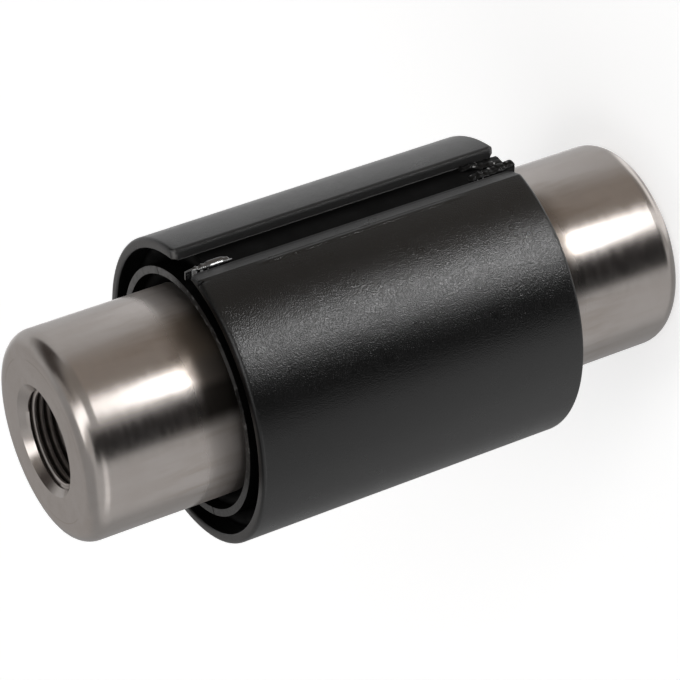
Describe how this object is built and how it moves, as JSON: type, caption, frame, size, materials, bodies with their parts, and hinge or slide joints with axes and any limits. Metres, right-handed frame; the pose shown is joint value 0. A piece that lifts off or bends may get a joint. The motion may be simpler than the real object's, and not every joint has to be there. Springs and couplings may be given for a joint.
{
  "type": "rubber-metal suspension bush",
  "caption": "Rubber-metal bush: steel pin with a tapped hole in each end, bonded in two rubber layers inside a slit black steel sleeve.",
  "frame": {"origin": "centre of the lower end face of the pin, on the axis, where the bush stands", "axes": "+Z along the pin's axis towards the end that faces the camera in the picture, +X through the middle of the sleeve's slit"},
  "size_m": [0.0612, 0.0614, 0.131],
  "materials": {
    "pin_steel": "turned and lightly brushed, warm grey",
    "rubber": "moulded black, smooth",
    "shell_steel": "dark phosphated steel edge",
    "black_paint": "satin black with a fine grain"
  },
  "bodies": {
    "root": {"inner_pin": "pin_steel", "inner_rubber": "rubber", "mid_shell_a": "shell_steel", "mid_shell_b": "shell_steel", "outer_rubber": "rubber", "outer_sleeve": "black_paint"}
  },
  "joints": []
}
